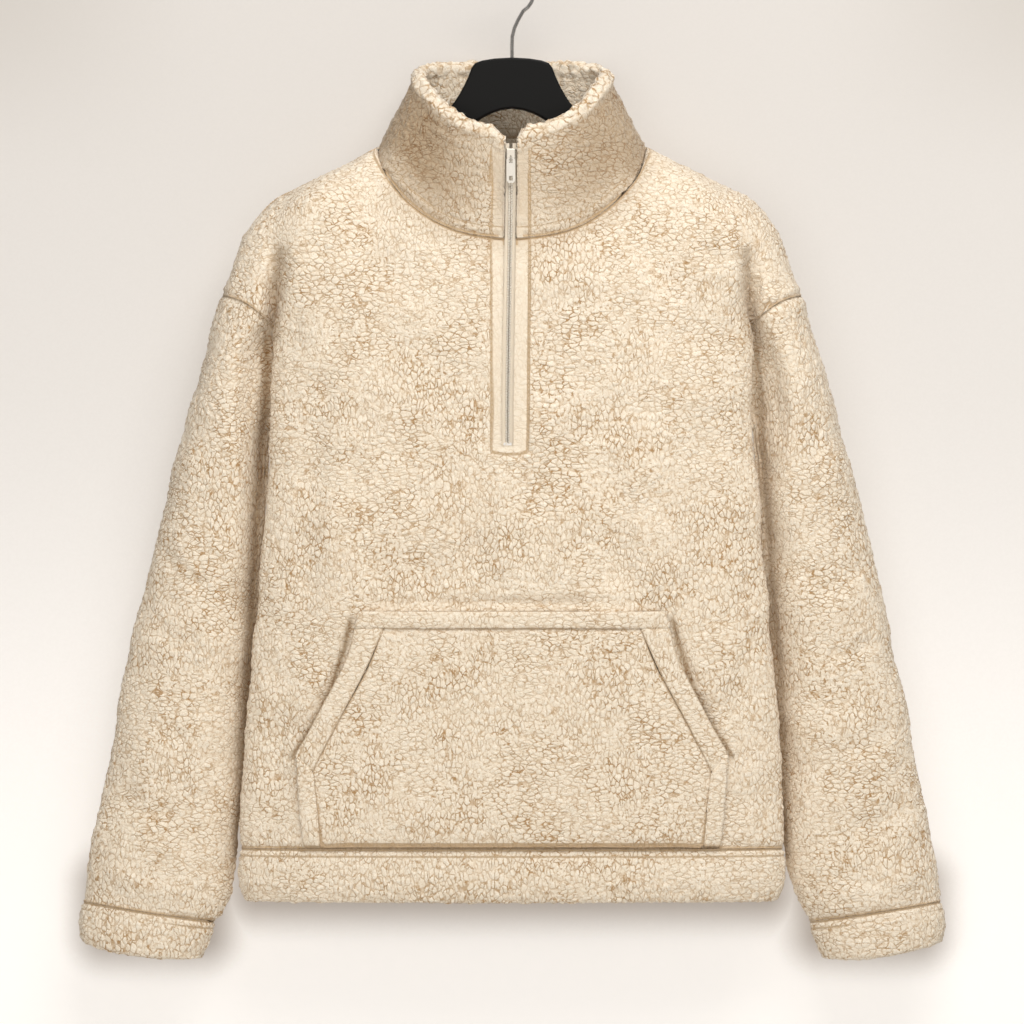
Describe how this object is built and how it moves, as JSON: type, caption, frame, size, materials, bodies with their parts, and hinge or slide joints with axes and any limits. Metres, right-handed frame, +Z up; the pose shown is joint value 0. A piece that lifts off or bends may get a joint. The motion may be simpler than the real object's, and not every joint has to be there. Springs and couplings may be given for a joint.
{
  "type": "half-zip sherpa pullover on a hanger",
  "caption": "Sherpa fleece pullover with a stand collar, half zip and kangaroo pocket, hung on a flat hanger with a wire hook.",
  "frame": {"origin": "where a rail bears inside the top of the hanger's hook", "axes": "+Z up, front of the garment towards -Y, +X to the right of someone facing the front"},
  "size_m": [0.789, 0.1139, 0.9001],
  "materials": {
    "fleece": "deep curly pile, cream over tan",
    "zip_tape": "woven tape, matte",
    "zip_chain": "nylon coil, cream",
    "zip_metal": "pale satin metal",
    "zip_pull": "off-white, satin",
    "hanger_black": "matte black, softened edges",
    "hook_steel": "bright wire"
  },
  "bodies": {
    "garment": {"body_front": "fleece", "body_back": "fleece", "sleeve_left": "fleece", "sleeve_right": "fleece", "cuff_left": "fleece", "cuff_right": "fleece", "waistband": "fleece", "collar": "fleece", "pocket_panel": "fleece", "pocket_top_hem": "fleece", "pocket_opening_left": "fleece", "pocket_opening_right": "fleece", "pocket_side_left": "fleece", "pocket_side_right": "fleece", "zip_tape_left": "zip_tape", "zip_tape_right": "zip_tape", "zip_chain": "zip_chain", "zip_slider": "zip_metal", "hanger_body": "hanger_black", "hanger_hook": "hook_steel"},
    "pull_tab": {"zip_pull_tab": "zip_pull"}
  },
  "joints": [
    {"name": "pull_tab_swing", "type": "hinge", "parent": "garment", "child": "pull_tab", "pos_m": [-0.00102, -0.05895, -0.172], "axis": [-1, 0, 0], "range_deg": [0, 150]}
  ]
}
